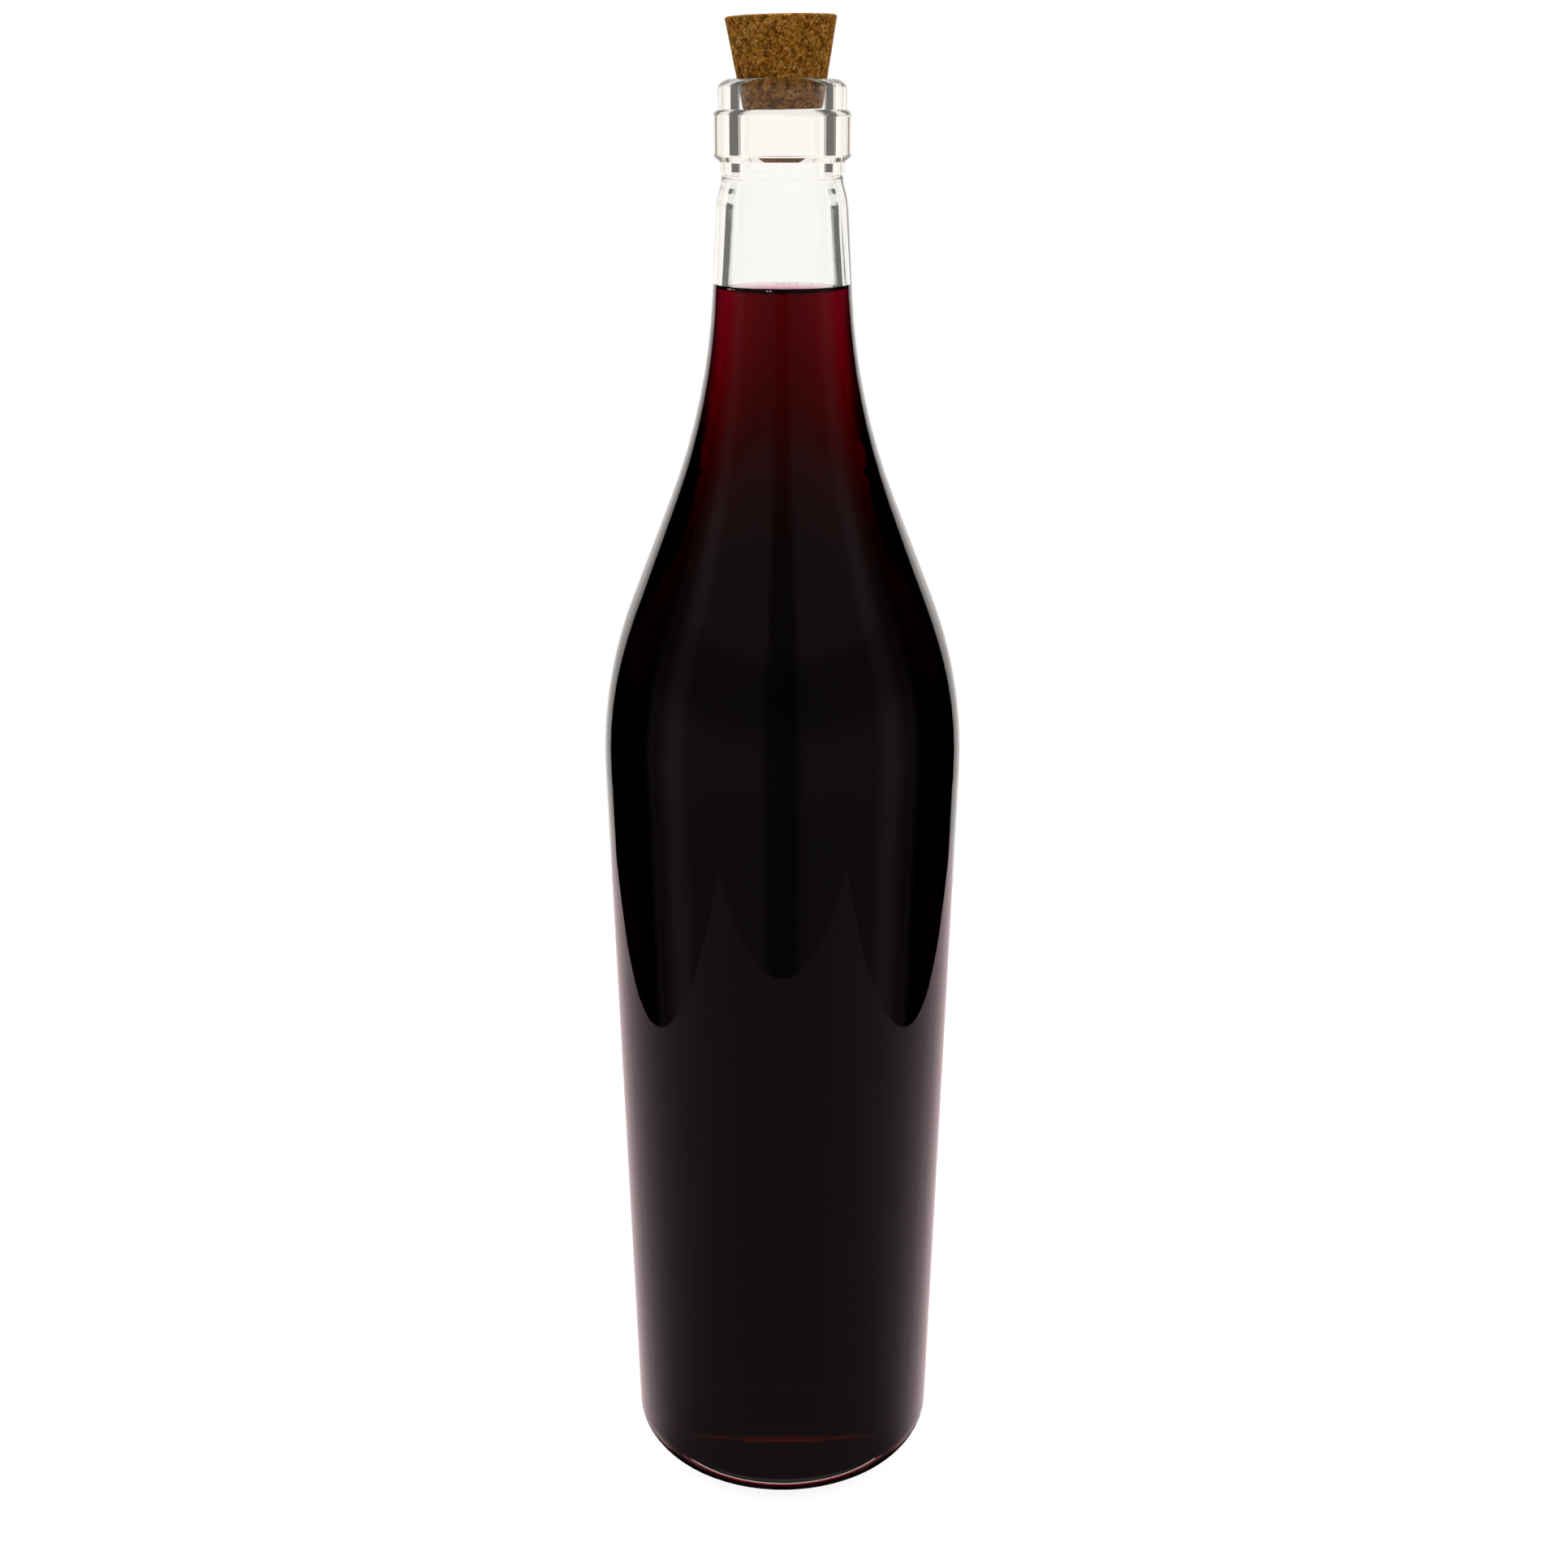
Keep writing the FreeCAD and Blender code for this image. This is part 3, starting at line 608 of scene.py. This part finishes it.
def room(world):
    """What stands round the table, by direction and by the kind of light that meets it."""
    tree = world.node_tree
    tree.nodes.clear()
    way = add(tree, "ShaderNodeTexCoord").outputs["Generated"]
    x, y, z = add(tree, "ShaderNodeSeparateXYZ", {0: way}).outputs
    across = flat_length(tree, x, y)
    # back is 1 straight behind the bottle and -1 in front, side is 1 at either side
    back = add(tree, MATH, {0: y, 1: across}, operation="DIVIDE")
    wide = add(tree, MATH, {0: x}, operation="ABSOLUTE")
    side = add(tree, MATH, {0: wide, 1: across}, operation="DIVIDE")
    faced = add(tree, MATH, {0: back, 1: 0.0}, operation="LESS_THAN")
    path = add(tree, "ShaderNodeLightPath")
    mirrored = room_in_gloss(tree, back, side, z, faced)
    clear = room_through_glass(tree, path, back, z, faced)
    seen = add(tree, MIX, {0: path.outputs["Is Transmission Ray"], 2: mirrored, 3: clear})
    # matt things are lit evenly, also through the glass
    matt = add(tree, MATH, {0: path.outputs["Diffuse Depth"], 1: 1.0}, operation="MINIMUM")
    held = add(tree, MIX, {0: matt, 2: seen, 3: FILL_LIGHT})
    shown = add(tree, MIX, {0: path.outputs["Is Camera Ray"], 2: held, 3: 1.0})
    tint = rosy_gloss(tree, path, faced)
    light = add(tree, "ShaderNodeBackground", {"Color": tint, "Strength": shown})
    add(tree, "ShaderNodeOutputWorld", {"Surface": light})


world = bpy.data.worlds.new("studio")
bpy.context.scene.world = world
world.use_nodes = True
room(world)

BOTTLE_SIDE = 0.030  # in the gloss, the table's light goes by the direction from this place,
BOTTLE_FRONT = 0.018  # this far to either side of the bottle's axis and in front of it
TABLE_FALL = 1.65  # how fast the table's gloss dims from behind to in front
TABLE_WHITE = 0.86  # to the eye, before the lamps
TABLE_GREY = "7c7c7c"  # what takes the lamps' light and the shadow


def table_top():
    """White opal plate, matt to the eye: it glows with painted light, brightest behind, and keeps a
    soft shadow.
    """
    made, tree, out = material("white_opal_table")
    where = add(tree, "ShaderNodeNewGeometry").outputs["Position"]
    x, y, _ = add(tree, "ShaderNodeSeparateXYZ", {0: where}).outputs
    away = flat_length(tree, x, y)
    # through the glass: painted light, bright behind, with the bottle's painted shadow under it and
    # round its foot
    back = add(tree, MATH, {0: y, 1: away}, operation="DIVIDE")
    behind = add(tree, RANGE, {0: back, 1: -0.10, 2: 0.90, 3: 0.0, 4: 0.68}, **SMOOTH)
    around = add(tree, MATH, {0: back, 1: 0.09, 2: 0.19}, operation="MULTIPLY_ADD")
    clear = add(tree, MATH, {0: behind, 1: around}, operation="ADD")
    painted_shadow_round_foot = add(tree, RANGE, {0: away, 1: 0.05, 2: 0.16, 3: 0.02, 4: 1.0}, **SMOOTH)
    clear = add(tree, MATH, {0: clear, 1: painted_shadow_round_foot}, operation="MULTIPLY")
    # in the gloss: painted light, brightest behind, by the direction from the bottle's side
    wide = add(tree, MATH, {0: x}, operation="ABSOLUTE")
    wide = add(tree, MATH, {0: wide, 1: BOTTLE_SIDE}, operation="SUBTRACT")
    out_x = add(tree, MATH, {0: wide, 1: 0.001}, operation="MAXIMUM")
    out_y = add(tree, MATH, {0: y, 1: BOTTLE_FRONT}, operation="ADD")
    far = flat_length(tree, out_x, out_y)
    rear = add(tree, MATH, {0: out_y, 1: far}, operation="DIVIDE")
    steep = add(tree, MATH, {0: rear, 1: TABLE_FALL}, operation="MULTIPLY")
    rising = add(tree, MATH, {0: steep}, operation="EXPONENT")
    bright = add(tree, MATH, {0: rising, 1: 0.21, 2: 0.10}, operation="MULTIPLY_ADD")
    lit = add(tree, MATH, {0: bright, 1: 0.97}, operation="MINIMUM")
    # the bottle's painted shadow: a dark disc under its foot, as the glass sees the table
    painted_shadow_under_foot = add(tree, RANGE, {0: away, 1: 0.034, 2: 0.038, 3: 0.02, 4: 1.0}, **SMOOTH)
    mirrored = add(tree, MATH, {0: lit, 1: painted_shadow_under_foot}, operation="MULTIPLY")
    path = add(tree, "ShaderNodeLightPath")
    glow = add(tree, MIX, {0: path.outputs["Is Transmission Ray"], 2: mirrored, 3: clear})
    tint = rosy_gloss(tree, path, 1.0)
    seen = add(tree, "ShaderNodeEmission", {"Color": tint, "Strength": glow})
    # to the eye: nearly white by itself, so that only the soft shadow shows
    white = add(tree, "ShaderNodeEmission", {"Color": linear(CLEAR), "Strength": TABLE_WHITE})
    matt = add(tree, "ShaderNodeBsdfDiffuse", {"Color": linear(TABLE_GREY)})
    shown = add(tree, "ShaderNodeAddShader", {0: white, 1: matt})
    to_eye = {0: path.outputs["Is Camera Ray"], 1: seen, 2: shown}
    both = add(tree, "ShaderNodeMixShader", to_eye)
    tree.links.new(both.outputs[0], out.inputs["Surface"])
    return made


TABLE_SIZE = (0.526, 0.69)
TABLE_MIDDLE = (0.0, 0.035, -0.00005)  # a hair under the bottle's foot

bpy.ops.mesh.primitive_plane_add(size=1.0, location=(0, 0, 0))
table = bpy.context.object
table.name = "table"
table.data.transform(Matrix.Translation(TABLE_MIDDLE) @ Matrix.Diagonal((*TABLE_SIZE, 1, 1)))
dress(table, table_top())


def lamp(name, place, size, power, aim=(0.0, 0.0, 0.2)):
    """A soft square lamp that lights matt surfaces and leaves no mark in the glass."""
    data = bpy.data.lights.new(name, "AREA")
    data.shape = "SQUARE"
    data.size = size
    data.energy = power
    made = bpy.data.objects.new(name, data)
    made.location = place
    made.rotation_euler = (Vector(aim) - Vector(place)).to_track_quat("-Z", "Y").to_euler()
    made.visible_glossy = False
    made.visible_transmission = False
    made.visible_camera = False
    bpy.context.collection.objects.link(made)


lamp("lamp_over", (0.0, -0.25, 1.0), 0.7, 6.0)
lamp("lamp_back_left", (-0.7, 0.6, 0.6), 0.6, 5.0)
lamp("lamp_back_right", (0.7, 0.6, 0.6), 0.6, 5.0)

bpy.context.scene.view_settings.view_transform = "Standard"
